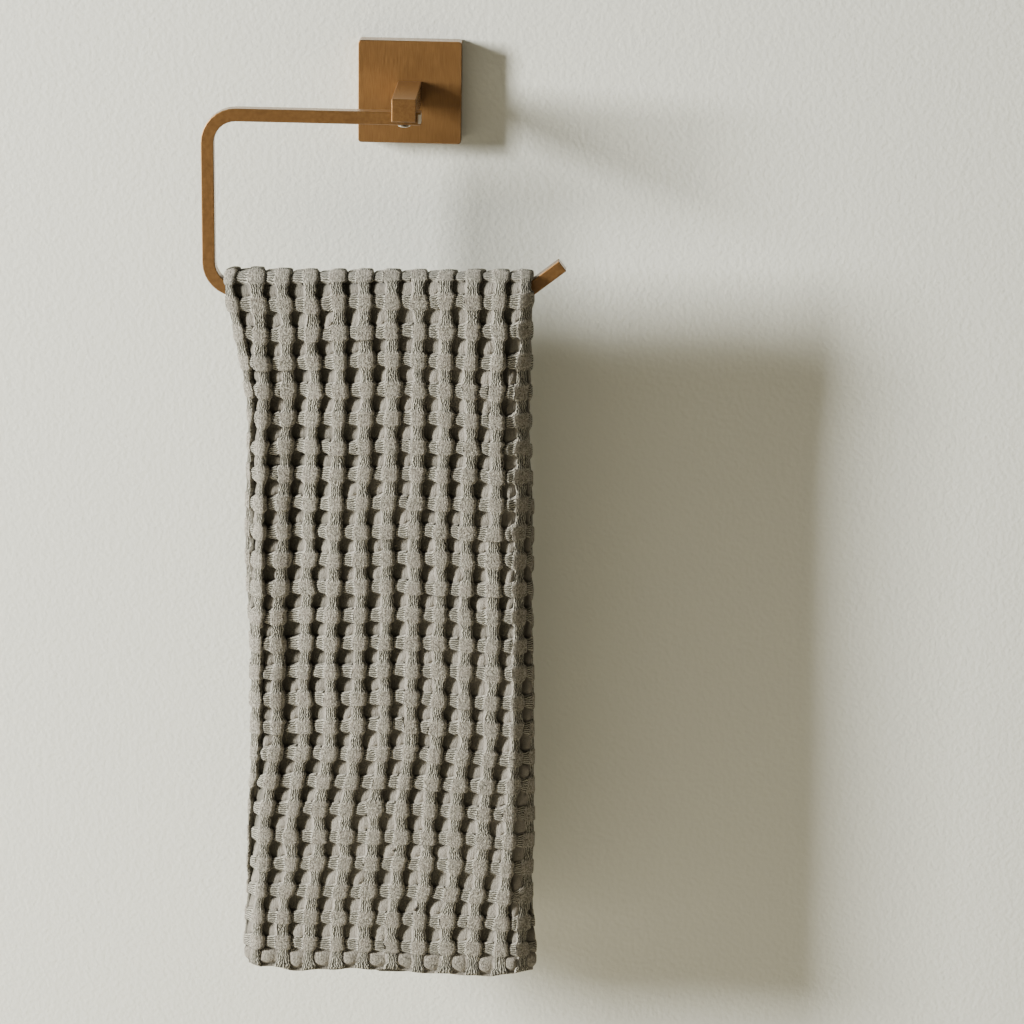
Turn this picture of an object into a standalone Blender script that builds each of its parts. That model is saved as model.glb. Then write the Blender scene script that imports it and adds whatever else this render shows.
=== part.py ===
"""A giant-waffle towel, folded in thirds and hung over an open towel ring of square brass bar.

Metres, +Z up. The origin is the centre of the wall plate's back face. The wall is the plane y = 0
and the ring stands out from it towards -Y, so the front of the towel faces -Y.
"""

import math

import bmesh
import bpy
from mathutils import Matrix, Vector

MM = 0.001
GAP = 0.3 * MM                    # between pieces that touch on the real thing

# Wall plate and post
PLATE = 50.0 * MM
PLATE_THICK = 8.0 * MM
PLATE_CORNER = 1.6 * MM
POST_WIDE = 11.5 * MM
POST_HIGH = 11.0 * MM
POST_FRONT = -53.0 * MM           # the post's front face
EDGE_BREAK = 0.35 * MM            # the small chamfer along every metal edge

# Ring, bent from one square bar
BAR = 6.2 * MM
BAR_Y = -47.25 * MM               # the plane of the ring's centre line
BAR_TOP_Z = -4.35 * MM            # centre line of the run through the post
BAR_END_X = 8.0 * MM              # the run stops this far right of the post's centre
LEG_X = -93.3 * MM
BAR_LOW_Z = -89.75 * MM           # centre line of the run that carries the towel
BEND = 13.6 * MM                  # bend radius on the centre line
BEND_STEPS = 8
TIP_CORNER_X = 56.25 * MM         # where the lower run and the raised tip would meet
TIP_ANGLE = math.radians(38.5)
TIP_LONG = 25.5 * MM

# Clamp screw under the post
HEAD_RADIUS = 3.0 * MM
HEAD_THICK = 1.1 * MM
SHANK_RADIUS = 1.5 * MM
SHANK_IN_POST = 3.5 * MM

# Towel: three layers of one cloth, the front panel with its raised waffle outside
EDGE_CLEAR = 1.505 * MM             # from the bar's edges to the cloth
PANEL_TIGHT = 2.2 * MM            # front panel over its ridges, pulled over the bar
PANEL_LOOSE = 3.6 * MM            # and hanging free
FLAP = 1.4 * MM                   # each of the two flaps behind it, without raised ridges
TIGHT = 0.35 * MM                 # between layers over the bar
LOOSE = 1.2 * MM                  # between layers in the drops
IN_RADIUS = BAR / math.sqrt(2) - EDGE_BREAK / math.sqrt(2) + EDGE_CLEAR + 0.15 * MM
OUT_RADIUS = IN_RADIUS + PANEL_TIGHT + 2 * FLAP + 2 * TIGHT
QUARTER = OUT_RADIUS * math.pi / 2
SEAT_DEPTH = IN_RADIUS - BAR / 2 - GAP
FRONT_HEM_Z = -442.5 * MM
BACK_HEM_Z = -431.0 * MM
DROPS_CLOSE = 1.0 * MM            # each drop leans in this much below the bar
LEAN_OVER = 70.0 * MM             # and does so over this length
LOOSENS_OVER = 30.0 * MM          # below the bar, the layers part over this length
LIFT_DIES_OVER = 50.0 * MM        # and the lift of the rising tip is taken up over this one
FLAP_FROM_LEFT = 3.6 * MM         # from the left edge to the flaps' flat part
FLAP_FROM_RIGHT = 6.2 * MM
PITCH_ROW = 14.6 * MM             # waffle cell, down the cloth
FIRST_ROW = 5.55 * MM             # first row of ridges, from the crown towards the front
ROWS = 25
LAST_RIDGE = 3.5 * MM             # the last ridge lies this far above the front hem
BACK_ROWS = 9                     # plain cross-sections down the back drop
COLUMNS = 13
CENTRE_COLUMN = 6
# How deep each place of a waffle cell lies, as a share of the panel's thickness
RIDGE, RIBBON, BRIDGE, HOLLOW = 0.0, 0.08, 0.34, 0.7
SQUEEZED = 0.4 * MM                # least space between two relief lines drawn together at a fold
EDGE_PLAIN = 1.5 * MM             # the fold itself carries no relief
FLAP_STATIONS = (0.0, 0.12, 0.2, 0.3, 0.5, 0.75, 1.0)
# Cross-sections over the bar: arc length from the crown in mm, whether it sits on the bar
CROWN_STATIONS = ((3.6, False), (1.2, True), (-1.2, True), (-3.6, False), (-8.0, False), (-12.5, False))

# Side edges of each drop: distance below the bar, left edge, right edge
FRONT_EDGES = (
    (-12, -86.0, 62.6), (0, -85.2, 63.2), (17, -81.7, 62.9), (37, -78.2, 62.8), (52, -75.8, 62.8),
    (67, -74.6, 62.5), (103, -74.9, 63.5), (155, -75.3, 65.2), (207, -75.7, 67.0), (239, -75.2, 67.6),
    (272, -76.8, 68.4), (302, -77.5, 68.0), (338, -79.5, 70.6), (347, -79.2, 70.6), (353, -77.4, 69.2),
)
BACK_EDGES = (
    (-12, -86.0, 62.6), (0, -85.2, 63.2), (60, -77.0, 63.4), (130, -78.6, 65.6), (200, -76.8, 66.2),
    (280, -77.2, 67.0), (341, -78.2, 68.6),
)
# Waffle columns on the front: distance below the bar, place of the centre column, column pitch
COLUMN_DRIFT = (
    (-12, -5.0, 13.03), (17, -4.2, 12.76), (46, -4.0, 12.5), (75, -4.6, 12.9), (125, -5.9, 12.97),
    (183, -6.9, 13.3), (220, -7.3, 13.3), (278, -12.4, 13.7), (338, -17.0, 13.86), (354, -17.6, 13.86),
)
# How far the crown stands above the bar's own line, where the rising tip lifts the cloth: x, lift
CROWN_LIFT = ((-90, 0.0), (-50, 0.0), (0, 0.75), (47, 1.7), (54, 1.9), (58, 2.5), (61, 3.3), (64, 3.9))
# The front hem's own line: x, drop below its mean height
HEM_LINE = ((-80, -1.5), (-62, 0.0), (-50, 1.1), (-24, -0.8), (1, -1.1), (15, 0.2), (45, 1.1), (66, -1.2))
TROUGH_X = -52.0 * MM             # a soft upright dip in the front drop
TROUGH_WIDE = 13.0 * MM
TROUGH_DEEP = 2.0 * MM
TROUGH_STARTS, TROUGH_FULL = 5.0 * MM, 65.0 * MM      # below the bar
TROUGH_FADES, TROUGH_ENDS = 190.0 * MM, 280.0 * MM


def clear_scene():
    for obj in list(bpy.data.objects):
        bpy.data.objects.remove(obj)


def material(name, color, rough, metallic):
    mat = bpy.data.materials.new(name)
    mat.use_nodes = True
    shader = mat.node_tree.nodes["Principled BSDF"]
    shader.inputs["Base Color"].default_value = (*color, 1.0)
    shader.inputs["Roughness"].default_value = rough
    shader.inputs["Metallic"].default_value = metallic
    return mat


def make_object(name, bm, mat, smooth_angle=math.radians(35)):
    mesh = bpy.data.meshes.new(name)
    bmesh.ops.recalc_face_normals(bm, faces=bm.faces)
    bm.to_mesh(mesh)
    bm.free()
    mesh.materials.append(mat)
    mesh.shade_smooth()
    mesh.set_sharp_from_angle(angle=smooth_angle)
    obj = bpy.data.objects.new(name, mesh)
    bpy.context.collection.objects.link(obj)
    return obj


def box(bm, low, high):
    size = Vector(high) - Vector(low)
    middle = (Vector(high) + Vector(low)) / 2
    matrix = Matrix.Translation(middle) @ Matrix.Diagonal((*size, 1.0))
    return bmesh.ops.create_cube(bm, size=1.0, matrix=matrix)["verts"]


def chamfer(bm, edges, width, segments=1):
    bmesh.ops.bevel(bm, geom=list(edges), offset=width, segments=segments, profile=0.5,
                    affect="EDGES", material=-1)


def cut(obj, cutter):
    """Take the cutter's volume out of obj with an exact Boolean."""
    cutter.hide_render = True
    cutter.display_type = "WIRE"
    mod = obj.modifiers.new("cut " + cutter.name, "BOOLEAN")
    mod.operation = "DIFFERENCE"
    mod.solver = "EXACT"
    mod.object = cutter


def wall_plate(brass):
    bm = bmesh.new()
    box(bm, (-PLATE / 2, -PLATE_THICK, -PLATE / 2), (PLATE / 2, 0.0, PLATE / 2))
    along_y = [e for e in bm.edges if abs(e.verts[0].co.y - e.verts[1].co.y) > PLATE_THICK / 2]
    chamfer(bm, along_y, PLATE_CORNER, segments=4)
    rim = [e for e in bm.edges if all(v.co.y < -PLATE_THICK + GAP for v in e.verts)]
    chamfer(bm, rim, EDGE_BREAK)
    return make_object("wall_plate", bm, brass)


def post(brass):
    bm = bmesh.new()
    box(bm, (-POST_WIDE / 2, POST_FRONT, -POST_HIGH / 2), (POST_WIDE / 2, -PLATE_THICK - GAP, POST_HIGH / 2))
    visible = [e for e in bm.edges if min(v.co.y for v in e.verts) < POST_FRONT + GAP]
    chamfer(bm, visible, EDGE_BREAK)
    obj = make_object("post", bm, brass)
    cut(obj, bar_notch())
    cut(obj, screw_hole("post_hole", BAR_TOP_Z, BAR_TOP_Z + BAR / 2 + SHANK_IN_POST + GAP))
    return obj


def bar_notch():
    """The channel, open below, that the bar lies in."""
    half = BAR / 2 + GAP
    bm = bmesh.new()
    box(bm, (-POST_WIDE, BAR_Y - half, -POST_HIGH), (POST_WIDE, BAR_Y + half, BAR_TOP_Z + half))
    return make_object("bar_notch", bm, None)


def screw_hole(name, low, high):
    bm = bmesh.new()
    matrix = Matrix.Translation((0.0, BAR_Y, (low + high) / 2))
    bmesh.ops.create_cone(bm, cap_ends=True, segments=16, radius1=SHANK_RADIUS + GAP,
                          radius2=SHANK_RADIUS + GAP, depth=high - low, matrix=matrix)
    return make_object(name, bm, None)


def clamp_screw(steel):
    """A low domed head under the bar, its shank up through the bar into the post."""
    head_top = BAR_TOP_Z - BAR / 2 - GAP
    tip = BAR_TOP_Z + BAR / 2 + SHANK_IN_POST
    profile = (
        (0.0, head_top - HEAD_THICK), (0.6 * HEAD_RADIUS, head_top - 0.9 * HEAD_THICK),
        (0.92 * HEAD_RADIUS, head_top - 0.6 * HEAD_THICK), (HEAD_RADIUS, head_top - 0.3 * HEAD_THICK),
        (HEAD_RADIUS, head_top), (SHANK_RADIUS, head_top), (SHANK_RADIUS, tip), (0.0, tip),
    )
    bm = bmesh.new()
    verts = [bm.verts.new((radius, BAR_Y, z)) for radius, z in profile]
    edges = [bm.edges.new(pair) for pair in zip(verts, verts[1:])]
    bmesh.ops.spin(bm, geom=verts + edges, cent=(0.0, BAR_Y, 0.0), axis=(0.0, 0.0, 1.0),
                   angle=2 * math.pi, steps=24, use_merge=True)
    bmesh.ops.remove_doubles(bm, verts=bm.verts, dist=0.01 * MM)
    return make_object("clamp_screw", bm, steel)


def extend(bm, face, shift):
    """Push the bar's end face on by a straight run; only the first face stays behind, as a cap."""
    first = all(len(edge.link_faces) == 1 for edge in face.edges)
    out = bmesh.ops.extrude_face_region(bm, geom=[face], use_keep_orig=True)["geom"]
    end = [g for g in out if isinstance(g, bmesh.types.BMFace)][0]
    if not first:
        bmesh.ops.delete(bm, geom=[face], context="FACES_ONLY")
    bmesh.ops.translate(bm, verts=end.verts, vec=shift)
    return end


def turn(bm, face, centre, angle, steps):
    """Turn the bar's end face about a bend's centre, in the ring's plane."""
    for _ in range(steps):
        face = extend(bm, face, (0.0, 0.0, 0.0))
        matrix = Matrix.Rotation(angle / steps, 3, "Y")
        bmesh.ops.rotate(bm, verts=face.verts, cent=centre, matrix=matrix)
    return face


def ring_bar(brass):
    """One bar from the post: left, down the leg, right under the towel, and up at the open tip."""
    half = BAR / 2
    bend_left = LEG_X + BEND
    tip_tangent = BEND * math.tan(TIP_ANGLE / 2)
    tip_start = TIP_CORNER_X - tip_tangent
    bm = bmesh.new()
    corners = ((-half, -half), (-half, half), (half, half), (half, -half))
    verts = [bm.verts.new((BAR_END_X, BAR_Y + dy, BAR_TOP_Z + dz)) for dy, dz in corners]
    end = bm.faces.new(verts)
    end = extend(bm, end, (bend_left - BAR_END_X, 0.0, 0.0))
    end = turn(bm, end, (bend_left, BAR_Y, BAR_TOP_Z - BEND), -math.pi / 2, BEND_STEPS)
    end = extend(bm, end, (0.0, 0.0, (BAR_LOW_Z + BEND) - (BAR_TOP_Z - BEND)))
    end = turn(bm, end, (bend_left, BAR_Y, BAR_LOW_Z + BEND), -math.pi / 2, BEND_STEPS)
    end = extend(bm, end, (tip_start - bend_left, 0.0, 0.0))
    end = turn(bm, end, (tip_start, BAR_Y, BAR_LOW_Z + BEND), -TIP_ANGLE, BEND_STEPS // 2)
    straight = TIP_LONG - tip_tangent
    extend(bm, end, (straight * math.cos(TIP_ANGLE), 0.0, straight * math.sin(TIP_ANGLE)))
    bmesh.ops.recalc_face_normals(bm, faces=bm.faces)
    sharp = [e for e in bm.edges if e.calc_face_angle(0.0) > math.radians(60)]
    chamfer(bm, sharp, EDGE_BREAK)
    obj = make_object("ring_bar", bm, brass)
    cut(obj, screw_hole("bar_hole", BAR_TOP_Z - BAR, BAR_TOP_Z + BAR))
    return obj


def smooth(t):
    t = min(1.0, max(0.0, t))
    return t * t * (3 - 2 * t)


def read(table, at, column=1):
    """Read a column of a table of millimetres at a distance in metres, eased between its rows."""
    at /= MM
    rows = list(table)
    if at <= rows[0][0]:
        return rows[0][column] * MM
    for a, b in zip(rows, rows[1:]):
        if at <= b[0]:
            share = smooth((at - a[0]) / (b[0] - a[0]))
            return (a[column] + (b[column] - a[column]) * share) * MM
    return rows[-1][column] * MM


class Station:
    """One cross-section of the towel, at arc length s from the crown, + to the front hem."""

    def __init__(self, s, relief=None, seated=False, hem=False):
        self.s = s
        self.front = s > 0
        self.relief = relief              # "ridge" or "between" rows, or None where it is plain
        self.seated = seated
        self.hem = hem
        self.below = abs(s) - QUARTER if abs(s) > QUARTER else -OUT_RADIUS * math.cos(s / OUT_RADIUS)
        edges = FRONT_EDGES if self.front else BACK_EDGES
        self.left = read(edges, self.below, 1)
        self.right = read(edges, self.below, 2)
        freed = smooth((abs(s) - QUARTER) / LOOSENS_OVER)
        self.layer_gap = TIGHT + (LOOSE - TIGHT) * freed
        self.panel = PANEL_TIGHT + (PANEL_LOOSE - PANEL_TIGHT) * freed
        self.deep = self.panel + 2 * FLAP + 2 * self.layer_gap

    def place(self, x, n):
        """World place of a point at x, n inwards from the towel's outer surface."""
        lift = read(CROWN_LIFT, x) * (1 - smooth((abs(self.s) - QUARTER) / LIFT_DIES_OVER))
        n += self.trough(x)
        if abs(self.s) <= QUARTER:
            angle = self.s / OUT_RADIUS
            radius = OUT_RADIUS - n
            return (x, BAR_Y - radius * math.sin(angle), BAR_LOW_Z + lift + radius * math.cos(angle))
        side = -1 if self.front else 1
        lean = DROPS_CLOSE * smooth(self.below / LEAN_OVER)
        drop = self.below
        if self.hem and self.front:
            drop += read(HEM_LINE, x)
        return (x, BAR_Y + side * (OUT_RADIUS - lean - n), BAR_LOW_Z + lift - drop)

    def trough(self, x):
        if not self.front:
            return 0.0
        begins = smooth((self.below - TROUGH_STARTS) / (TROUGH_FULL - TROUGH_STARTS))
        fades = smooth((self.below - TROUGH_FADES) / (TROUGH_ENDS - TROUGH_FADES))
        return TROUGH_DEEP * begins * (1 - fades) * math.exp(-((x - TROUGH_X) / TROUGH_WIDE) ** 2)

    def waffle_depth(self, on_ridge_column):
        """How far the panel's outer face lies below its highest ridges."""
        if self.hem:
            return 0.0
        if self.relief is None:
            return 0.0 if on_ridge_column else BRIDGE * self.panel
        if self.relief == "ridge":
            return (RIDGE if on_ridge_column else BRIDGE) * self.panel
        return (RIBBON if on_ridge_column else HOLLOW) * self.panel

    def front_face(self):
        """Outer face, left to right: a line on each ridge column and one in each hollow.

        A column that slides round a fold is drawn together at the edge, and its relief fades out.
        """
        centre = read(COLUMN_DRIFT, self.below, 1)
        pitch = read(COLUMN_DRIFT, self.below, 2)
        count = 2 * COLUMNS - 1
        low = self.left + self.deep / 2
        high = self.right - self.deep / 2
        line = []
        for i in range(count):
            x = centre + (i / 2 - CENTRE_COLUMN) * pitch
            x = max(x, low + i * SQUEEZED)
            line.append(min(x, high - (count - 1 - i) * SQUEEZED))
        points = []
        for i, x in enumerate(line):
            before = x - line[i - 1] if i > 0 else x - self.left - EDGE_PLAIN
            after = line[i + 1] - x if i + 1 < count else self.right - x - EDGE_PLAIN
            fade = smooth(min(before, after) / (0.45 * pitch))
            points.append((x, self.waffle_depth(i % 2 == 0) * fade))
        return points

    def layer_face(self, n):
        """An inner face at depth n, left to right, on the stations that all layers share."""
        low = self.left + FLAP_FROM_LEFT
        high = self.right - FLAP_FROM_RIGHT
        return [(low + (high - low) * share, n) for share in FLAP_STATIONS]

    def sides(self):
        """The folded section's outer and inner side, both from the outer flap's free edge.

        From there the cloth runs left, round the left fold, across the panel, round the right
        fold, and back behind both to the inner flap's free edge.
        """
        first = self.panel + self.layer_gap       # outer flap's near face
        second = first + FLAP + self.layer_gap    # inner flap's near face
        outer = list(reversed(self.layer_face(first + FLAP)))
        outer += reversed(fold(self.left, (first + FLAP) / 2, (first + FLAP) / 2, 4, -1))
        outer += self.front_face()
        outer += fold(self.right, self.deep / 2, self.deep / 2, 5, 1)
        outer += reversed(self.seat(self.layer_face(self.deep)))
        inner = list(reversed(self.layer_face(first)))
        inner += fold(self.left + FLAP, self.panel + self.layer_gap / 2, self.layer_gap / 2, 1, -1)
        inner += self.layer_face(self.panel)
        inner += fold(self.right - FLAP, (second + self.panel) / 2, (second - self.panel) / 2, 4, 1)
        inner += reversed(self.layer_face(second))
        return [self.place(x, n) for x, n in outer], [self.place(x, n) for x, n in inner]

    def seat(self, face):
        """On the crown, one ridge of the reverse side reaches down to the bar's straight top face."""
        if not self.seated:
            return face
        return [face[0]] + [(x, n + SEAT_DEPTH) for x, n in face[1:-1]] + [face[-1]]


def fold(edge, middle, radius, count, side):
    """Points round a fold that reaches edge, from the outer face inwards."""
    points = []
    for i in range(count):
        angle = math.pi * (i + 1) / (count + 1)
        points.append((edge - side * radius * (1 - math.sin(angle)), middle - radius * math.cos(angle)))
    return points


def stations():
    """Cross-sections from the front hem over the bar to the back hem."""
    front_length = QUARTER + (BAR_LOW_Z - FRONT_HEM_Z)
    back_drop = BAR_LOW_Z - BACK_HEM_Z
    out = [Station(front_length, hem=True), Station(front_length - LAST_RIDGE, relief="ridge")]
    for row in reversed(range(ROWS)):
        at = FIRST_ROW + row * PITCH_ROW
        out.append(Station(at + PITCH_ROW / 2, relief="between"))
        out.append(Station(at, relief="ridge"))
    for at, seated in CROWN_STATIONS:
        out.append(Station(at * MM, seated=seated))
    out.append(Station(-QUARTER))
    for i in range(1, BACK_ROWS + 1):
        out.append(Station(-QUARTER - back_drop * i / BACK_ROWS, hem=i == BACK_ROWS))
    return out


def close_hem(bm, outer, inner):
    """Fill a hem between the cloth's two sides with triangles that stay between near points."""
    i = j = 0
    while i + 1 < len(outer) or j + 1 < len(inner):
        step_outer = (outer[i + 1].co - inner[j].co).length if i + 1 < len(outer) else math.inf
        step_inner = (outer[i].co - inner[j + 1].co).length if j + 1 < len(inner) else math.inf
        if step_outer <= step_inner:
            bm.faces.new((outer[i], outer[i + 1], inner[j]))
            i += 1
        else:
            bm.faces.new((outer[i], inner[j + 1], inner[j]))
            j += 1


def towel(cloth):
    bm = bmesh.new()
    rows = []
    for station in stations():
        rows.append([[bm.verts.new(point) for point in side] for side in station.sides()])
    for (outer_a, inner_a), (outer_b, inner_b) in zip(rows, rows[1:]):
        ring_a = outer_a + inner_a[::-1]
        ring_b = outer_b + inner_b[::-1]
        for i in range(len(ring_a)):
            j = (i + 1) % len(ring_a)
            bm.faces.new((ring_a[i], ring_a[j], ring_b[j], ring_b[i]))
    for outer, inner in (rows[0], rows[-1]):
        close_hem(bm, outer, inner)
    return make_object("towel", bm, cloth, smooth_angle=math.radians(12))


def build():
    clear_scene()
    brass = material("brushed_brass", (0.26, 0.12, 0.035), 0.36, 1.0)
    steel = material("bare_steel", (0.62, 0.6, 0.56), 0.25, 1.0)
    cloth = material("waffle_cotton", (0.36, 0.33, 0.28), 0.95, 0.0)
    wall_plate(brass)
    post(brass)
    ring_bar(brass)
    clamp_screw(steel)
    towel(cloth)


build()
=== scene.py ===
"""A giant-waffle hand towel, folded in thirds, over an open towel ring of square brass bar."""

import math

import bmesh
import bpy
from mathutils import Matrix, Vector, noise


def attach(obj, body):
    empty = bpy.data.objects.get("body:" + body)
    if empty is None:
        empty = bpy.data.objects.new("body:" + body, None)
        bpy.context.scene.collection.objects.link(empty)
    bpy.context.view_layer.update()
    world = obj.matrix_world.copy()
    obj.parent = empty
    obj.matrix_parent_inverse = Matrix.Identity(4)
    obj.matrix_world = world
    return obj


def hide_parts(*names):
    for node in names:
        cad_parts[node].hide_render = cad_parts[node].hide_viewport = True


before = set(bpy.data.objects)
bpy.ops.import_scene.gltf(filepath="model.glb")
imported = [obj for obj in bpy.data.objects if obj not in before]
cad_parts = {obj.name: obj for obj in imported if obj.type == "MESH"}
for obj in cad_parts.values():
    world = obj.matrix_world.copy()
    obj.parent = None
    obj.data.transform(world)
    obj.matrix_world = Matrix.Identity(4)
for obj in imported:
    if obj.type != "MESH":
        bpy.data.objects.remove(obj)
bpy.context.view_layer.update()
MM = 0.001

# The drape over the bar, as in the solids
BAR_Y = -47.25 * MM
BAR_LOW_Z = -89.75 * MM
OUT_RADIUS = 11.486 * MM           # the towel's outer face over the bar
QUARTER = OUT_RADIUS * math.pi / 2
BAR_TOP_Z = -4.35 * MM
CUT_END_X = 6.7 * MM               # the bar's bare end begins here, right of the post
PANEL_TIGHT, PANEL_LOOSE = 2.2 * MM, 3.6 * MM
FLAP = 1.4 * MM
LAYERS_TIGHT, LAYERS_LOOSE = 0.35 * MM, 1.2 * MM
DROPS_CLOSE = 1.0 * MM
LEAN_OVER = 70.0 * MM
LOOSENS_OVER = 30.0 * MM
LIFT_DIES_OVER = 50.0 * MM
FLAP_FROM_LEFT, FLAP_FROM_RIGHT = 3.6 * MM, 6.2 * MM
FRONT_DROP = 352.75 * MM           # from the bar to each hem
BACK_DROP = 341.25 * MM

# The waffle cell
PITCH_ROW = 14.6 * MM
FIRST_ROW = 5.55 * MM
LAST_FRONT_ROW = 24
LAST_BACK_ROW = -24
SHARED_LINE = -1.5                 # the line, between two rows, that both pieces share
CENTRE_COLUMN = 6
RIBBONS = 13
LEFT_OF_RIBBONS, RIGHT_OF_RIBBONS = -0.6, 12.72     # columns where the flaps' plain lines begin
RIBBON_AT_CROSSING, RIBBON_BETWEEN = 3.85 * MM, 2.7 * MM        # half widths
CROSSING_ENDS, BETWEEN_STARTS = 3.3 * MM, 4.4 * MM             # from a crossing's centre, down the ribbon
BRIDGE_HALF = 3.15 * MM            # half the height of the threads that bridge two ribbons
RELIEF_TIGHT, RELIEF_LOOSE = 2.8 * MM, 4.1 * MM     # from the highest ridge to the deepest floor
RELIEF_AT_HEM = 3.0 * MM
FLATTENS, FLATTENED = 215.0 * MM, 345.0 * MM        # the relief eases to the hem's between these drops
# Depths as shares of the relief
CREST, CREST_ROUND, CREST_BETWEEN = 0.02, 0.10, 0.2
CREST_VARIES, CREST_VARIES_OVER = 0.03, 4.0 * MM
BRIDGE_DEEP, BRIDGE_ROUND, BRIDGE_END = 0.14, 0.12, 0.5
BRIDGE_RISES = 0.14                # from its left end to the crossing that it joins at its right
BRIDGE_VARIES, BRIDGE_VARIES_OVER = 0.05, 6.0 * MM
BRIDGE_END_WIDE = 0.22             # share of the hollow over which a bridge rises out of its left end
PILLOW_TOP, PILLOW_TOP_AT_HEM = 0.5, 0.38
PILLOW_VARIES = 0.16
PILLOW_SEAM = 0.16                 # the pillow sinks this much where it meets a bridge
SEAM_AT_FOOT, SEAM_AT_TOP = 0.25, 0.75   # up a hollow, where those two seams end and begin
FLAP_DEPTH = 0.35
DEEP_AT_LEFT, SHALLOW_AT_RIGHT = 1.15, 0.88         # shares of the relief at the trough and beyond it
DEPTH_VARIES, DEPTH_VARIES_OVER = 0.14, 45.0 * MM
VALLEY_ENDS, PILLOW_STARTS = 0.15, 0.8   # across a hollow, from its left ribbon to its right one
VALLEY_SLANT = 0.34                # the valley is this much wider at a hollow's top than at its foot
VALLEY_VARIES = 0.12
FOLD_THINS = 0.45                  # the relief loses this much on its way round a fold
BRIDGE_FLARE = 0.5                 # a bridge is this much taller at its left end
# How the rows and ribbons wander
WIDTH_VARIES, WIDTH_VARIES_OVER = 0.13, 11.0 * MM
SWAY, SWAY_OVER = 0.6 * MM, 17.0 * MM
RAGGED, RAGGED_OVER = 0.42 * MM, 2.4 * MM
ROW_SLIP = 0.6 * MM
# The folds are soft: the panel stands proud between them and falls away over these widths
PROUD = 1.6 * MM
LEFT_SLOPE, RIGHT_SLOPE = 7.0 * MM, 11.0 * MM
SLOPE_STRAIGHT = 0.75              # 0 falls away as an ellipse, 1 as a straight line
FOLD_STEPS = 16
YARN_HALF = 0.24                   # half a ribbon's mean width, in columns
DRAWN_IN = {0: 0.3, 1: 0.08, 12: -0.18}    # how far the ribbons at the folds lie to the right, in columns
DRAWN_IN_OVER = 90.0 * MM          # they are drawn there over this length of the front
HEM_RAGGED = 0.5 * MM
# The rounded puff that closes each hollow at the hem: mm below the last bridge's centre, then depths
PUFF_STARTS, PUFF_FULL, PUFF_TURNS, PUFF_ENDS = 3.6, 5.8, 10.8, 13.4
PUFF_TOP, PUFF_SIDES, PUFF_FOOT, PUFF_DEEPEST = 0.22, 0.30, 0.42, 0.8
PUFF_FULLNESS = 0.45               # a lower power makes it flatter on top and steeper at its sides

# Side edges of each drop: distance below the bar, left edge, right edge, in mm
FRONT_EDGES = (
    (-12, -86.0, 62.6), (0, -85.2, 63.2), (17, -81.7, 62.9), (37, -78.2, 62.8), (52, -75.8, 62.8),
    (67, -74.6, 62.5), (103, -74.9, 63.5), (155, -75.3, 65.2), (207, -75.7, 67.0), (239, -75.2, 67.6),
    (272, -76.8, 68.4), (302, -77.5, 68.0), (338, -79.5, 70.6), (347, -79.2, 70.6), (353, -77.4, 69.2),
)
BACK_EDGES = (
    (-12, -86.0, 62.6), (0, -85.2, 63.2), (60, -77.0, 63.4), (130, -78.6, 65.6), (200, -76.8, 66.2),
    (280, -77.2, 67.0), (341, -78.2, 68.6),
)
# Waffle columns: distance below the bar, place of the centre ribbon, distance between ribbons
FRONT_COLUMNS = (
    (-12, -5.0, 13.03), (17, -4.2, 12.76), (46, -4.0, 12.5), (75, -4.6, 12.9), (125, -5.9, 12.97),
    (183, -6.9, 13.3), (220, -7.3, 13.3), (278, -12.4, 13.7), (338, -17.0, 13.86), (354, -17.6, 13.86),
)
BACK_COLUMNS = ((-12, -5.0, 13.03), (60, -5.4, 12.9), (200, -5.0, 13.1), (341, -6.5, 13.3))
CROWN_LIFT = ((-90, 0.0), (-50, 0.0), (0, 0.75), (47, 1.7), (54, 1.9), (58, 2.5), (61, 3.3), (64, 3.9))
HEM_LINE = ((-80, -1.5), (-62, 0.0), (-50, 1.1), (-24, -0.8), (1, -1.1), (15, 0.2), (45, 1.1), (66, -1.2))
# How far the rows hang below an even spacing: distance below the bar, then at three places across
ROW_SAG = (
    (0, 3.0, 0.0, 0.0), (44, 2.0, -1.0, -0.5), (102, 0.5, -2.2, -2.6), (160, 0.5, -3.0, -2.2),
    (218, 0.3, -3.0, -1.5), (276, 0.3, -1.6, 0.0), (335, 0.6, 0.3, 0.8), (353, 0.0, 0.0, 0.0),
)
SAG_LEFT, SAG_MIDDLE, SAG_RIGHT = -64.0 * MM, 2.0 * MM, 45.0 * MM
SAG_STARTS_OVER = 12.0 * MM
INNER_HEM_X, INNER_HEM_WIDE, INNER_HEM_LOWER = -1.0 * MM, 12.0 * MM, 3.8 * MM
ON_A_FLAP = 3.0                    # a point that has turned more than this, in radians, lies on a flap
TROUGH_X, TROUGH_WIDE, TROUGH_DEEP = -52.0 * MM, 13.0 * MM, 2.0 * MM
TROUGH_STARTS, TROUGH_FULL = 5.0 * MM, 65.0 * MM
TROUGH_FADES, TROUGH_ENDS = 190.0 * MM, 280.0 * MM

# Lines across one ribbon: place in half widths, how far down its side wall (0 top, 1 foot)
RIBBON_LINES = (
    (-0.9, 1.0), (-1.01, 0.62), (-0.97, 0.14), (-0.8, 0.0), (-0.42, 0.0), (0.0, 0.0),
    (0.42, 0.0), (0.8, 0.0), (0.97, 0.14), (1.01, 0.62), (0.9, 1.0),
)
HOLLOW_LINES = (0.12, 0.33, 0.43, 0.56, 0.8)    # between two ribbons' feet
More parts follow.
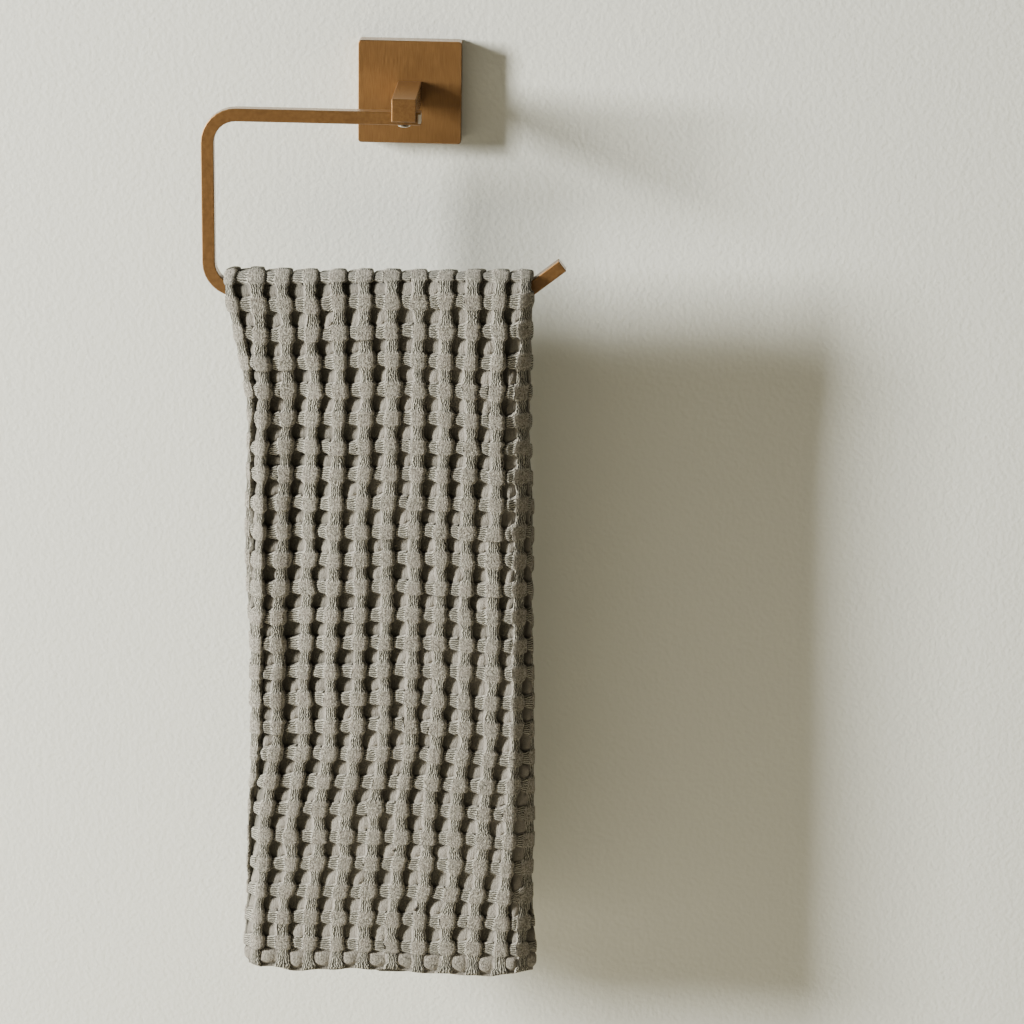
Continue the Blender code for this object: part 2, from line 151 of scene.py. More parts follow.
# Lines down one bridge: place in half heights, how far down its side wall
BRIDGE_LINES = (
    (-1.06, 1.0), (-1.0, 0.6), (-0.94, 0.16), (-0.75, 0.0), (-0.4, 0.0), (0.0, 0.0),
    (0.4, 0.0), (0.75, 0.0), (0.94, 0.16), (1.0, 0.6), (1.06, 1.0),
)
FLOOR_LINES = (0.14, 0.32, 0.5, 0.82)   # between two bridges
# Lines of the hem row: distance below the last bridge's centre in mm
HEM_LINES = (4.3, 5.6, 7.2, 8.8, 10.4, 11.6, 12.5, 13.3)
LAST_HEM_LINE = HEM_LINES[-1]
# The hem's edge: distance above the very end in mm, depth as a share of the cloth's thickness
HEM_EDGE = ((0.9, 0.22), (0.3, 0.34), (0.0, 0.6), (0.25, 0.9), (2.0, 1.0), (9.0, 1.0))
FLAP_LINES, FLAP_LINES_CROWD = 12, 1.5     # lines over a flap, closer together near its fold


def smooth(t):
    t = min(1.0, max(0.0, t))
    return t * t * (3 - 2 * t)


def mix(a, b, share):
    return a + (b - a) * share


def read(table, at, column=1):
    """Read a column of a table of millimetres at a distance in metres, eased between its rows."""
    at /= MM
    if at <= table[0][0]:
        return table[0][column] * MM
    for a, b in zip(table, table[1:]):
        if at <= b[0]:
            return mix(a[column], b[column], smooth((at - a[0]) / (b[0] - a[0]))) * MM
    return table[-1][column] * MM


def ripple(a, b, c):
    """Smooth noise between about -1 and 1 at a place."""
    return 2.0 * noise.noise(Vector((a, b, c)))


class CrossSection:
    """The folded cloth at arc length s from the crown, + towards the front hem."""

    def __init__(self, s):
        self.front = s > 0
        below = abs(s) - QUARTER if abs(s) > QUARTER else -OUT_RADIUS * math.cos(s / OUT_RADIUS)
        edges = FRONT_EDGES if self.front else BACK_EDGES
        columns = FRONT_COLUMNS if self.front else BACK_COLUMNS
        freed = smooth((abs(s) - QUARTER) / LOOSENS_OVER)
        panel = mix(PANEL_TIGHT, PANEL_LOOSE, freed)
        layer_gap = mix(LAYERS_TIGHT, LAYERS_LOOSE, freed)
        self.left, self.right = read(edges, below, 1), read(edges, below, 2)
        self.centre, self.pitch = read(columns, below, 1), read(columns, below, 2)
        self.left_radius = (panel + layer_gap + FLAP) / 2
        self.right_radius = (panel + 2 * layer_gap + 2 * FLAP) / 2
        self.flattened = smooth((below - FLATTENS) / (FLATTENED - FLATTENS))
        self.relief = mix(mix(RELIEF_TIGHT, RELIEF_LOOSE, freed), RELIEF_AT_HEM, self.flattened)
        self.proud = PROUD * freed
        slope_share = mix(0.6, 1.0, freed)
        self.left_fold = self.fold(LEFT_SLOPE * slope_share, self.left_radius)
        self.right_fold = self.fold(RIGHT_SLOPE * slope_share, self.right_radius)

    def fold(self, slope, radius):
        """Half a folded edge's outline, from where the panel begins to fall away to its reverse side.

        Each point is arc length, distance outwards, depth behind the panel's nominal face, turn.
        """
        outline = []
        for i in range(2 * FOLD_STEPS + 1):
            angle = math.pi * i / (2 * FOLD_STEPS)
            if i <= FOLD_STEPS:
                fall = mix(1 - math.cos(angle), math.sin(angle), SLOPE_STRAIGHT * math.cos(angle) ** 0.5)
                outline.append((slope * math.sin(angle), mix(-self.proud, radius, fall)))
            else:
                outline.append((slope - radius * (1 - math.sin(angle)), radius * (1 - math.cos(angle))))
        points, length = [], 0.0
        for i, (out, n) in enumerate(outline):
            before, after = outline[max(i - 1, 0)], outline[min(i + 1, len(outline) - 1)]
            if i > 0:
                length += math.dist(before, (out, n))
            turn = math.atan2(after[1] - before[1], after[0] - before[0])
            points.append((length, out, n, turn))
        return points

    def path(self, column):
        """Where a column of the cloth lies: x, depth behind the panel's face, turn round a fold."""
        x = self.centre + (column - CENTRE_COLUMN) * self.pitch
        low, high = self.low(), self.high()
        if x > high:
            out, n, turn = round_fold(x - high, self.right_fold)
            return high + out, n, turn
        if x < low:
            out, n, turn = round_fold(low - x, self.left_fold)
            return low - out, n, -turn
        return x, -self.proud, 0.0

    def low(self):
        return self.left + self.left_fold[FOLD_STEPS][1]

    def high(self):
        return self.right - self.right_fold[FOLD_STEPS][1]

    def flap_column(self, side, share):
        """The column at a share of the way from the last ribbon to a flap's free edge."""
        if side > 0:
            outermost = RIGHT_OF_RIBBONS
            flat_part = self.right - self.right_radius - (self.left + FLAP_FROM_LEFT)
            edge_x = self.high() + self.right_fold[-1][0] + flat_part
        else:
            outermost = LEFT_OF_RIBBONS
            flat_part = self.right - FLAP_FROM_RIGHT - (self.left + self.left_radius)
            edge_x = self.low() - self.left_fold[-1][0] - flat_part
        edge = CENTRE_COLUMN + (edge_x - self.centre) / self.pitch
        return mix(outermost, edge, share)


def round_fold(over, points):
    """A point at an arc length past the start of a fold: distance outwards, depth, turn."""
    if over >= points[-1][0]:
        return points[-1][1] - (over - points[-1][0]), points[-1][2], math.pi
    for a, b in zip(points, points[1:]):
        if over <= b[0]:
            share = (over - a[0]) / (b[0] - a[0])
            return mix(a[1], b[1], share), mix(a[2], b[2], share), mix(a[3], b[3], share)


def place(s, x, n, hem_share):
    """World place of a point at arc length s, x across and n behind the towel's outer face."""
    front = s > 0
    lift = 0.0
    if abs(s) < QUARTER + LIFT_DIES_OVER:
        lift = read(CROWN_LIFT, x) * (1 - smooth((abs(s) - QUARTER) / LIFT_DIES_OVER))
    if front:
        n += trough(abs(s) - QUARTER, x)
    if abs(s) <= QUARTER:
        angle = s / OUT_RADIUS
        radius = OUT_RADIUS - n
        return (x, BAR_Y - radius * math.sin(angle), BAR_LOW_Z + lift + radius * math.cos(angle))
    below = abs(s) - QUARTER
    side = -1 if front else 1
    lean = DROPS_CLOSE * smooth(below / LEAN_OVER)
    drop = below + (read(HEM_LINE, x) * hem_share if front else 0.0)
    return (x, BAR_Y + side * (OUT_RADIUS - lean - n), BAR_LOW_Z + lift - drop)


def row_sag(s, x):
    """How far down the front the cloth has slid at x, measured at its even place s."""
    if s <= 0:
        return 0.0
    below = s - QUARTER
    taken_up = smooth(s / SAG_STARTS_OVER)
    if x < SAG_MIDDLE:
        share = min(1.0, max(0.0, (x - SAG_LEFT) / (SAG_MIDDLE - SAG_LEFT)))
        return taken_up * mix(read(ROW_SAG, below, 1), read(ROW_SAG, below, 2), share)
    share = min(1.0, (x - SAG_MIDDLE) / (SAG_RIGHT - SAG_MIDDLE))
    return taken_up * mix(read(ROW_SAG, below, 2), read(ROW_SAG, below, 3), share)


def trough(below, x):
    """How far the front is pressed in beside its left edge."""
    begins = smooth((below - TROUGH_STARTS) / (TROUGH_FULL - TROUGH_STARTS))
    fades = smooth((below - TROUGH_FADES) / (TROUGH_ENDS - TROUGH_FADES))
    return TROUGH_DEEP * begins * (1 - fades) * math.exp(-((x - TROUGH_X) / TROUGH_WIDE) ** 2)


def lines_across():
    """Every line that runs down the cloth: kind, ribbon, place, wall level."""
    flap = [(i / FLAP_LINES) ** FLAP_LINES_CROWD for i in range(FLAP_LINES + 1)]
    lines = [("left flap", 0, share, 1.0) for share in reversed(flap)]
    lines += [("hollow", -1, at, 1.0) for at in HOLLOW_LINES if at > 0.4]
    for ribbon in range(RIBBONS):
        lines += [("ribbon", ribbon, at, wall) for at, wall in RIBBON_LINES]
        lines += [("hollow", ribbon, at, 1.0) for at in HOLLOW_LINES]
    lines += [("right flap", 0, share, 1.0) for share in flap]
    return lines


def ribbon_half(ribbon, s):
    """Half width of a ribbon at s: wide and puffed at each crossing, drawn in between."""
    half = mix(RIBBON_AT_CROSSING, RIBBON_BETWEEN, between_crossings(s))
    return half * (1 + WIDTH_VARIES * ripple(ribbon * 3.7, s / WIDTH_VARIES_OVER, 1.3))


def between_crossings(s):
    """0 on a crossing's pillow, 1 on the floats between two of them."""
    phase = (s - FIRST_ROW) / PITCH_ROW
    from_crossing = abs(phase - round(phase)) * PITCH_ROW
    return smooth((from_crossing - CROSSING_ENDS) / (BETWEEN_STARTS - CROSSING_ENDS))


def ribbon_line(ribbon, s, pitch, at):
    """The column of one line of a ribbon, at its place in half widths."""
    side_seed = 50 if at > 0 else 0
    sway = SWAY * ripple(ribbon * 2.3, s / SWAY_OVER, 7.9)
    ragged = RAGGED * ripple(ribbon * 3.7 + side_seed, s / RAGGED_OVER, 2.6) * at
    drawn_in = DRAWN_IN.get(ribbon, 0.0) * smooth(s / DRAWN_IN_OVER)
    return ribbon + drawn_in + (at * ribbon_half(ribbon, s) + sway + ragged) / pitch


def column_of(line, section, s):
    """The column, in ribbons, on which a line lies at s."""
    kind, ribbon, at, _ = line
    if kind == "ribbon":
        return ribbon_line(ribbon, s, section.pitch, at)
    if kind == "hollow":
        foot = RIBBON_LINES[-1][0]
        left = ribbon_line(ribbon, s, section.pitch, foot)
        right = ribbon_line(ribbon + 1, s, section.pitch, -foot)
        return mix(left, right, at)
    return section.flap_column(-1 if kind == "left flap" else 1, at)


def yarn_column(line, column):
    """The column that a line's yarn belongs to, whatever its ribbon's width there."""
    kind, ribbon, at, _ = line
    if kind == "ribbon":
        return ribbon + at * YARN_HALF
    if kind == "hollow":
        return ribbon + mix(0.9 * YARN_HALF, 1 - 0.9 * YARN_HALF, at)
    return column


class Down:
    """One line across the cloth: its arc length, and what of the cell it crosses."""

    def __init__(self, s, bridge_at=None, wall=1.0, floor_at=0.5, hem_at=None, edge=None, row=0):
        self.s = s
        self.bridge_at = bridge_at        # place on the bridge in half heights, or None on a floor
        self.wall = wall
        self.floor_at = floor_at
        self.hem_at = hem_at              # distance below the last bridge, in the hem row
        self.edge = edge                  # depth share at the hem's very edge
        self.row = row


def downs(side):
    """The lines across one drop, from its hem to the line that both pieces share."""
    last = LAST_FRONT_ROW if side > 0 else LAST_BACK_ROW
    end = QUARTER + (FRONT_DROP if side > 0 else BACK_DROP)
    out = []
    for above, depth in reversed(HEM_EDGE):
        out.append(Down(side * (end - above * MM), edge=depth, hem_at=LAST_HEM_LINE, row=last))
    centre = FIRST_ROW + last * PITCH_ROW
    for below in reversed(HEM_LINES):
        out.append(Down(centre + side * below * MM, hem_at=below, row=last))
    stop = -1 if side > 0 else -2
    row = last
    while True:
        centre = FIRST_ROW + row * PITCH_ROW
        for at, wall in BRIDGE_LINES:
            s = centre - side * at * BRIDGE_HALF
            out.append(Down(s, bridge_at=-at, wall=wall, floor_at=float(at < 0), row=row))
        ahead = PITCH_ROW - 2 * BRIDGE_HALF * BRIDGE_LINES[-1][0]
        foot = centre - side * BRIDGE_HALF * BRIDGE_LINES[-1][0]
        for share in FLOOR_LINES:
            s = foot - side * ahead * share
            if row == stop and share == 0.5:
                out.append(Down(s, floor_at=share, row=SHARED_LINE))
                return out
            out.append(Down(s, floor_at=share, row=row))
        row -= side


def relief(line, down, section, turn):
    """Depth of the cloth's face below its highest ridges, and its shares of floats and threads."""
    kind, ribbon, _, wall = line
    between = between_crossings(down.s)
    share = mix(crest_depth(line, down.s, between), hollow_depth(line, down, section), wall)
    if kind not in ("ribbon", "hollow"):
        share = FLAP_DEPTH
    if down.edge is not None:
        share = max(share * (1 - down.edge), down.edge)
    if down.hem_at is not None:
        floats, threads = 1 - wall, 0.0
    else:
        floats, threads = between * (1 - wall), wall * (1 - down.wall)
    thin = 1 - FOLD_THINS * smooth(1.3 * abs(turn) / math.pi)
    share *= fullness(ribbon, down.s)
    return share * section.relief * thin, share, floats, threads


def crest_depth(line, s, between):
    """Depth of a ribbon's top: highest on its crossings, lower and rounded on its floats."""
    kind, ribbon, at, _ = line
    crest = CREST + CREST_ROUND * at * at if kind == "ribbon" else 0.0
    return crest + CREST_BETWEEN * between + CREST_VARIES * ripple(ribbon * 1.9, s / CREST_VARIES_OVER, 3.1)


def hollow_depth(line, down, section):
    """Depth between two ribbons: a bridge, the hollow's floor, or the hem's puff."""
    ribbon, across = line[1], side_of_hollow(line)
    if down.hem_at is not None:
        return hem_hollow(down.hem_at, 4 * across * (1 - across))
    on_bridge = down.bridge_at or 0.0
    bridge = BRIDGE_DEEP + BRIDGE_ROUND * on_bridge * on_bridge + BRIDGE_RISES * (1 - across)
    if ribbon > 0:
        bridge += BRIDGE_END * (1 - smooth(across / BRIDGE_END_WIDE))
    bridge += BRIDGE_VARIES * ripple(ribbon * 4.1, down.s / BRIDGE_VARIES_OVER, 5.5)
    valley_shift = VALLEY_VARIES * ripple(ribbon * 5.3, down.row * 3.1, 8.7)
    pillow_top = mix(PILLOW_TOP, PILLOW_TOP_AT_HEM, section.flattened)
    pillow_top += PILLOW_VARIES * ripple(ribbon * 2.9, down.row * 1.7, 6.2)
    return mix(bridge, floor_depth(across, down.floor_at, valley_shift, pillow_top), down.wall)


def fullness(ribbon, s):
    """How deep the weave is drawn here, more at the left and unevenly down the cloth."""
    across = mix(DEEP_AT_LEFT, SHALLOW_AT_RIGHT, smooth((ribbon - 1) / 5))
    return across + DEPTH_VARIES * ripple(ribbon * 0.35, s / DEPTH_VARIES_OVER, 9.1)


def side_of_hollow(line):
    """How far across its hollow a line lies, from 0 at the left ribbon to 1 at the right one."""
    kind, _, at, _ = line
    return at if kind == "hollow" else float(at < 0)


def floor_depth(across, along, valley_shift, pillow_top):
    """Depth of a hollow's floor: a deep valley beside the left ribbon, then a smooth pillow."""
    starts = VALLEY_ENDS + valley_shift + VALLEY_SLANT * (along - 0.5)
    rise = smooth((across - starts) / (PILLOW_STARTS - VALLEY_ENDS))
    at_foot = 1 - smooth((along + 0.05) / (SEAM_AT_FOOT + 0.05))
    at_top = smooth((along - SEAM_AT_TOP) / (1 - SEAM_AT_TOP))
    pillow = pillow_top + PILLOW_SEAM * (at_foot + at_top)
    return mix(1.0, min(1.0, pillow), rise)


def hem_hollow(below, dome):
    """Depth in the hem row, where each hollow closes in a rounded puff."""
    top = smooth((below - PUFF_STARTS) / (PUFF_FULL - PUFF_STARTS))
    bottom = 1 - smooth((below - PUFF_TURNS) / (PUFF_ENDS - PUFF_TURNS))
    puff = PUFF_TOP + PUFF_SIDES * (1 - dome ** PUFF_FULLNESS) + PUFF_FOOT * (1 - top * bottom)
    return min(PUFF_DEEPEST, puff)


def row_slip(line, down, side):
    """How far down the cloth a point lies from its even place, as rows slip and bridges flare."""
    slip = 0.0
    if down.edge is None and down.hem_at is None:
        slip = ROW_SLIP * ripple(line[1] * 0.8 + 0.2, down.row * 2.9, 4.4)
    if down.bridge_at is not None:
        flare = BRIDGE_FLARE * line[3] * (0.4 - side_of_hollow(line))
        slip -= side * down.bridge_at * BRIDGE_HALF * flare
    return slip


def cloth_point(line, down, section, side):
    """One point of the cloth: its place, its weave, and its place on the flat cloth in cells."""
    column = column_of(line, section, down.s)
    x, n, turn = section.path(column)
    depth, share, floats, threads = relief(line, down, section, turn)
    s = down.s + row_slip(line, down, side)
    s += row_sag(s, x)
    x -= depth * math.sin(turn)
    n += depth * math.cos(turn)
    hem_share = smooth((s - (QUARTER + FRONT_DROP - PITCH_ROW)) / PITCH_ROW) if side > 0 else 0.0
    if side > 0 and abs(turn) > ON_A_FLAP:
        s += hem_share * INNER_HEM_LOWER * math.exp(-((x - INNER_HEM_X) / INNER_HEM_WIDE) ** 4)
    s += side * hem_share * HEM_RAGGED * ripple(column * 1.3, side, 2.2)
    flat = (yarn_column(line, column), (down.s - FIRST_ROW) / PITCH_ROW)
    return place(s, x, n, hem_share), (floats, threads, share), flat


def towel_piece(name, side, cloth):
    """One drop of the towel as a sheet, from the line behind the crown to its hem."""
    across, down_lines = lines_across(), downs(side)
    sections = [CrossSection(down.s) for down in down_lines]
    bm = bmesh.new()
    bmesh.ops.create_grid(bm, x_segments=len(across) - 1, y_segments=len(down_lines) - 1, size=1.0)
    uv_layer = bm.loops.layers.uv.new("cloth")
    kinds = bm.verts.layers.float_vector.new("weave")
    flat = {}
    for vert in bm.verts:
        i = round((vert.co.x + 1) / 2 * (len(across) - 1))
        j = round((vert.co.y + 1) / 2 * (len(down_lines) - 1))
        vert.co, vert[kinds], flat[vert] = cloth_point(across[i], down_lines[j], sections[j], side)
    for face in bm.faces:
        face.smooth = True
        for loop in face.loops:
            loop[uv_layer].uv = flat[loop.vert]
    face_out(bm, side)
    return finish_mesh(name, bm, cloth)


def face_out(bm, side):
    """Turn the sheet so that its panel faces away from the bar."""
    bm.normal_update()
    panel = 0.0
    for face in bm.faces:
        centre = face.calc_center_median()
        if (centre.y - BAR_Y) * side < -9.5 * MM:
            panel += face.normal.y * face.calc_area()
    if panel * side > 0:
        bmesh.ops.reverse_faces(bm, faces=bm.faces)


def finish_mesh(name, bm, mat):
    mesh = bpy.data.meshes.new(name)
    bm.to_mesh(mesh)
    bm.free()
    mesh.materials.append(mat)
    obj = bpy.data.objects.new(name, mesh)
    bpy.context.scene.collection.objects.link(obj)
    return obj


# Materials


class Nodes:
    """A new material's node tree, with short calls to add and join nodes."""

    def __init__(self, name):
        self.mat = bpy.data.materials.new(name)
        self.mat.use_nodes = True
        self.tree = self.mat.node_tree
        self.shader = self.tree.nodes["Principled BSDF"]

    def add(self, kind, **settings):
        node = self.tree.nodes.new(kind)
        for key, value in settings.items():
            setattr(node, key, value)
        return node

    def put(self, value, socket):
        """Join an output to a socket, or set the socket to a number or colour."""
        if isinstance(value, bpy.types.NodeSocket):
            self.tree.links.new(value, socket)
        else:
            socket.default_value = value

    def math(self, operation, a, b=0.0, clamp=False):
        node = self.add("ShaderNodeMath", operation=operation, use_clamp=clamp)
        self.put(a, node.inputs[0])
        self.put(b, node.inputs[1])
        return node.outputs[0]

    def mix(self, share, a, b):
        node = self.add("ShaderNodeMix", data_type="RGBA")
        self.put(share, node.inputs[0])
        self.put(a, node.inputs[6])
        self.put(b, node.inputs[7])
        return node.outputs[2]

    def noise(self, coords, scale, stretch=(1.0, 1.0, 1.0), detail=2.0, distortion=0.0):
        mapping = self.add("ShaderNodeMapping")
        self.put(coords, mapping.inputs["Vector"])
        mapping.inputs["Scale"].default_value = stretch
        node = self.add("ShaderNodeTexNoise")
        self.put(mapping.outputs[0], node.inputs["Vector"])
        node.inputs["Scale"].default_value = scale
        node.inputs["Detail"].default_value = detail
        node.inputs["Distortion"].default_value = distortion
        return node.outputs[0]

    def strands(self, coords, direction, scale, wander=6.5):
        """Wavy yarns side by side; direction is the axis that they are counted along."""
        node = self.add("ShaderNodeTexWave", bands_direction=direction)
        self.put(coords, node.inputs["Vector"])
        settings = {"Scale": scale, "Distortion": wander, "Detail": 2.5, "Detail Scale": 2.0}
        for socket, number in settings.items():
            node.inputs[socket].default_value = number
        return node.outputs["Fac"]

    def span(self, value, low, high, out_low=0.0, out_high=1.0):
        node = self.add("ShaderNodeMapRange")
        self.put(value, node.inputs[0])
        for index, number in enumerate((low, high, out_low, out_high)):
            node.inputs[index + 1].default_value = number
        return node.outputs[0]

    def bump(self, height, distance, strength=1.0, normal=None):
        node = self.add("ShaderNodeBump")
        node.inputs["Distance"].default_value = distance
        node.inputs["Strength"].default_value = strength
        self.put(height, node.inputs["Height"])
        if normal is not None:
            self.put(normal, node.inputs["Normal"])
        return node.outputs[0]


def waffle_cotton():
    """Unbleached grey cotton: curly floats, fanned threads on the bridges, and soft fuzz elsewhere."""
    n = Nodes("waffle cotton")
    # these coordinates count cells, so one unit is about 13 mm across and 14.6 mm down
    uv = n.add("ShaderNodeUVMap", uv_map="cloth").outputs[0]
    weave = n.add("ShaderNodeAttribute", attribute_name="weave", attribute_type="GEOMETRY")
    parts = n.add("ShaderNodeSeparateXYZ")
    n.put(weave.outputs["Vector"], parts.inputs[0])
    floats, threads, depth = parts.outputs[0], parts.outputs[1], parts.outputs[2]
    plain = n.math("SUBTRACT", 1.0, n.math("ADD", floats, threads), clamp=True)
    floor = n.span(depth, 0.2, 0.36)
    height, yarn = cotton_yarns(n, uv, floats, threads, plain, floor)
    n.put(cotton_colour(n, uv, yarn, plain, floor, depth), n.shader.inputs["Base Color"])
    n.put(n.bump(height, 0.65 * MM), n.shader.inputs["Normal"])
    n.shader.inputs["Roughness"].default_value = 0.92
    n.shader.inputs["Specular IOR Level"].default_value = 0.2
    n.shader.inputs["Sheen Weight"].default_value = 0.12
    n.shader.inputs["Sheen Roughness"].default_value = 0.5
    return n.mat


def cotton_yarns(n, uv, floats, threads, plain, floor):
    """The height of the yarns for the bump, and how much light yarn shows at each place."""
    upright = n.math("POWER", n.strands(uv, "X", 3.8, 7.0), 1.4)
    level = n.span(n.strands(uv, "Y", 4.6, 3.5), 0.0, 1.0, 0.05, 1.0)
    fuzz = n.span(n.noise(uv, 17.0, detail=3.0, distortion=1.2), 0.33, 0.67)
    stripes = n.math("ADD", n.math("MULTIPLY", upright, floats), n.math("MULTIPLY", level, threads))
    fuzz_here = n.math("MULTIPLY", fuzz, n.span(floor, 0.0, 1.0, 0.8, 0.4))
    pile = n.math("ADD", fuzz_here, n.math("MULTIPLY", floor, 0.22))
    pile = n.math("MULTIPLY", plain, n.math("ADD", pile, n.math("MULTIPLY", upright, 0.15)))
    fuzzy_stripes = n.math("MULTIPLY", stripes, n.span(fuzz, 0.0, 1.0, 0.7, 1.0))
    yarn = n.math("ADD", fuzzy_stripes, pile)
    height = n.math("ADD", stripes, n.math("MULTIPLY", pile, 0.9))
    return height, yarn


def cotton_colour(n, uv, yarn, plain, floor, depth):
    """Painted shade between the yarns, a faint warm mottle, and painted shade that makes the hollows
    browner and darker.
    """
    # painted shade: the gaps between the yarns are painted near black, the yarns themselves pale grey
    colour = n.mix(n.span(yarn, 0.08, 0.85), (0.04, 0.038, 0.028, 1), (0.428, 0.408, 0.338, 1))
    mottle = n.span(n.noise(uv, 2.2, detail=3.0), 0.3, 0.7, 0.05, 0.4)
    colour = n.mix(n.math("MULTIPLY", plain, mottle), colour, (0.30, 0.262, 0.225, 1))
    # painted shade: the hollows' floors, below the ribbons and bridges, are painted browner and darker
    painted_floor_shade = n.math("MULTIPLY", n.math("MULTIPLY", floor, plain), 0.8)
    colour = n.mix(painted_floor_shade, colour, (0.225, 0.207, 0.176, 1))
    # painted shade: the deeper the cloth lies in the relief, the more it is darkened towards near black
    return n.mix(n.span(depth, 0.4, 0.9, 0.0, 0.8), colour, (0.05, 0.048, 0.036, 1))


def brushed_brass(name, brushing, spread=0.0, bare_end_highlight=False):
    """Aged brass. brushing is the scale of the scratches along x, y and z, small along the brushing.

    spread stretches the shine across the brushing, where that runs up and down. The last switch paints the
    middle of the bar's sawn end beside the post pale: bare metal, brightened as a painted highlight.
    """
    n = Nodes(name)
    coords = n.add("ShaderNodeTexCoord").outputs["Object"]
    scratches = n.noise(coords, 1.0, brushing, detail=3.0)
    patina = n.noise(coords, 45.0, detail=3.0)
    colour = n.mix(n.span(scratches, 0.3, 0.7), (0.19, 0.098, 0.034, 1), (0.255, 0.135, 0.048, 1))
    colour = n.mix(n.span(patina, 0.35, 0.7, 0.0, 0.35), colour, (0.175, 0.088, 0.03, 1))
    # painted highlight: the middle of the sawn end is painted pale, partly as bare brass and partly as a
    # highlight
    if bare_end_highlight:
        colour = n.mix(sawn_end_highlight(n, coords), colour, (0.66, 0.6, 0.5, 1))
    n.put(colour, n.shader.inputs["Base Color"])
    n.put(n.span(scratches, 0.3, 0.7, 0.5, 0.57), n.shader.inputs["Roughness"])
    n.put(n.bump(scratches, 0.02 * MM, 0.3), n.shader.inputs["Normal"])
    n.shader.inputs["Anisotropic"].default_value = spread
    n.shader.inputs["Coat Weight"].default_value = 1.0
    n.shader.inputs["Coat Roughness"].default_value = 0.25
    n.shader.inputs["Metallic"].default_value = 1.0
    return n.mat


def sawn_end_highlight(n, coords):
    """1 on the middle of the bar's sawn end beside the post, which is painted pale as bare metal and as a
    painted highlight, 0 elsewhere.
    """
    parts = n.add("ShaderNodeSeparateXYZ")
    n.put(coords, parts.inputs[0])
    at_end = n.span(parts.outputs[0], CUT_END_X - 0.3 * MM, CUT_END_X + 0.3 * MM)
    from_middle = n.math("ABSOLUTE", n.math("SUBTRACT", parts.outputs[2], BAR_TOP_Z))
    in_middle = n.span(from_middle, 2.4 * MM, 1.9 * MM)
    return n.math("MULTIPLY", at_end, in_middle)


def bare_steel():
    """A bright turned screw head."""
    n = Nodes("bare steel")
    coords = n.add("ShaderNodeTexCoord").outputs["Object"]
    turned = n.noise(coords, 900.0, detail=2.0)
    n.put(n.mix(turned, (0.42, 0.38, 0.31, 1), (0.66, 0.61, 0.53, 1)), n.shader.inputs["Base Color"])
    n.shader.inputs["Roughness"].default_value = 0.28
    n.shader.inputs["Metallic"].default_value = 1.0
    return n.mat


def set_finish(node, mat):
    """Give a CAD node its finish."""
    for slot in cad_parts[node].material_slots:
        slot.material = mat


# Stage, light and camera


def flat_piece(name, corners, mat):
    """One flat face between four corners."""
    bm = bmesh.new()
    bm.faces.new([bm.verts.new(corner) for corner in corners])
    return finish_mesh(name, bm, mat)


def one_sided_paint(name, colour):
    """Matt paint that is seen from the room only."""
    n = Nodes(name)
    coords = n.add("ShaderNodeTexCoord").outputs["Object"]
    n.shader.inputs["Base Color"].default_value = colour
    n.shader.inputs["Roughness"].default_value = 0.85
    n.put(n.bump(n.noise(coords, 420.0, detail=3.0), 0.4 * MM, 0.6), n.shader.inputs["Normal"])
    clear = n.add("ShaderNodeBsdfTransparent")
    both = n.add("ShaderNodeMixShader")
    n.put(n.add("ShaderNodeNewGeometry").outputs["Backfacing"], both.inputs[0])
    n.put(n.shader.outputs[0], both.inputs[1])
    n.put(clear.outputs[0], both.inputs[2])
    n.put(both.outputs[0], n.tree.nodes["Material Output"].inputs["Surface"])
    return n.mat


def stage():
    """A pale backdrop just behind the plate, and a warm floor that throws light up."""
    wall_paint = one_sided_paint("pale wall", (0.72, 0.73, 0.655, 1))
    floor_paint = one_sided_paint("warm floor", (0.51, 0.46, 0.36, 1))
    behind, floor, wide, high = 0.6 * MM, -0.6, 2.2, 1.6
    floor_wide, floor_deep = 1.5, 1.5
    wall = flat_piece("wall", (
        (-wide, behind, floor),
        (wide, behind, floor),
        (wide, behind, high),
        (-wide, behind, high),
    ), wall_paint)
    ground = flat_piece("floor", (
        (-floor_wide, behind, floor),
        (-floor_wide, -floor_deep, floor),
        (floor_wide, -floor_deep, floor),
        (floor_wide, behind, floor),
    ), floor_paint)


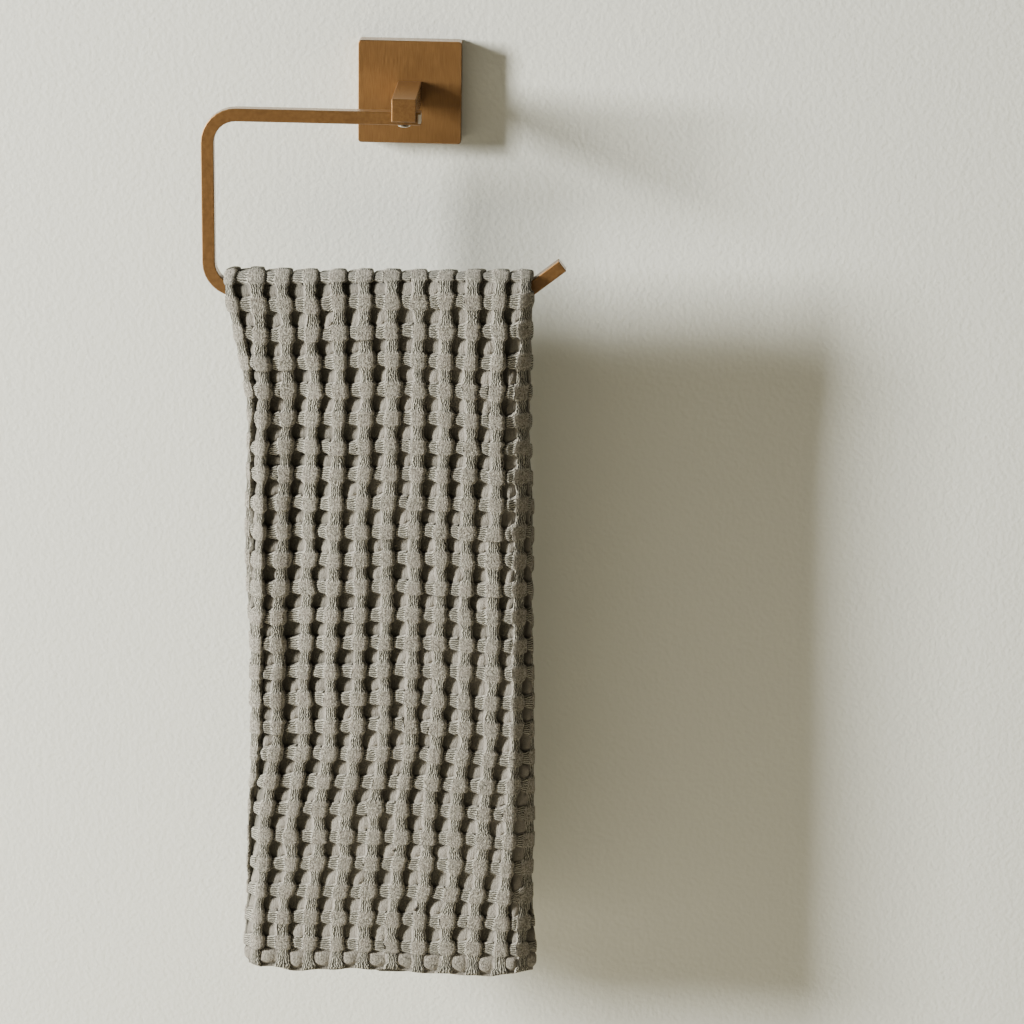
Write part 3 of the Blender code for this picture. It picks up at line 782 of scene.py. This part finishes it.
def area_light(name, place_at, aim, wide, high, power, colour):
    light = bpy.data.lights.new(name, "AREA")
    light.shape = "RECTANGLE"
    light.size, light.size_y = wide, high
    light.energy, light.color = power, colour
    obj = bpy.data.objects.new(name, light)
    turned = (Vector(aim) - Vector(place_at)).to_track_quat("-Z", "Y")
    obj.matrix_world = Matrix.Translation(place_at) @ turned.to_matrix().to_4x4()
    bpy.context.scene.collection.objects.link(obj)


def lights():
    """A narrow key from the left, with a weak warm fill and room light."""
    aim = (0.0, -0.03, -0.25)
    area_light("key", (-3.25, -1.13, 0.68), aim, 0.44, 1.2, 585.0, (1.0, 0.99, 0.945))
    area_light("fill", (0.6, -2.6, 0.6), aim, 2.2, 2.2, 1.5, (1.0, 0.92, 0.78))
    world = bpy.data.worlds.new("room light")
    world.use_nodes = True
    glow = world.node_tree.nodes["Background"]
    glow.inputs["Color"].default_value = (1.0, 0.92, 0.78, 1)
    glow.inputs["Strength"].default_value = 0.035
    bpy.context.scene.world = world


def camera():
    """A long lens 1.7 m in front of the plate, looking 18 degrees down."""
    yaw, pitch, roll = math.radians(-1.80), math.radians(18.03), math.radians(0.93)
    data = bpy.data.cameras.new("camera")
    data.sensor_width, data.lens = 36.0, 123.05
    obj = bpy.data.objects.new("camera", data)
    turned = Matrix.Rotation(-yaw, 4, "Z") @ Matrix.Rotation(math.pi / 2 - pitch, 4, "X")
    obj.matrix_world = Matrix.Translation((0.105, -1.674, 0.331)) @ turned @ Matrix.Rotation(roll, 4, "Z")
    bpy.context.scene.collection.objects.link(obj)
    bpy.context.scene.camera = obj


def towel():
    cloth = waffle_cotton()
    front = towel_piece("towel_front", 1, cloth)
    back = towel_piece("towel_back", -1, cloth)
    for piece, length in ((front, 0.388), (back, 0.343)):
        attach(piece, "root")
        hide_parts("towel")


def metal():
    set_finish("wall_plate", brushed_brass("plate brass", (2600.0, 2600.0, 160.0), spread=0.4))
    set_finish("post", brushed_brass("post brass", (1200.0, 1200.0, 1200.0)))
    set_finish("ring_bar", brushed_brass("bar brass", (500.0, 2600.0, 500.0), bare_end_highlight=True))
    set_finish("clamp_screw", bare_steel())


camera()
stage()
lights()
metal()
towel()
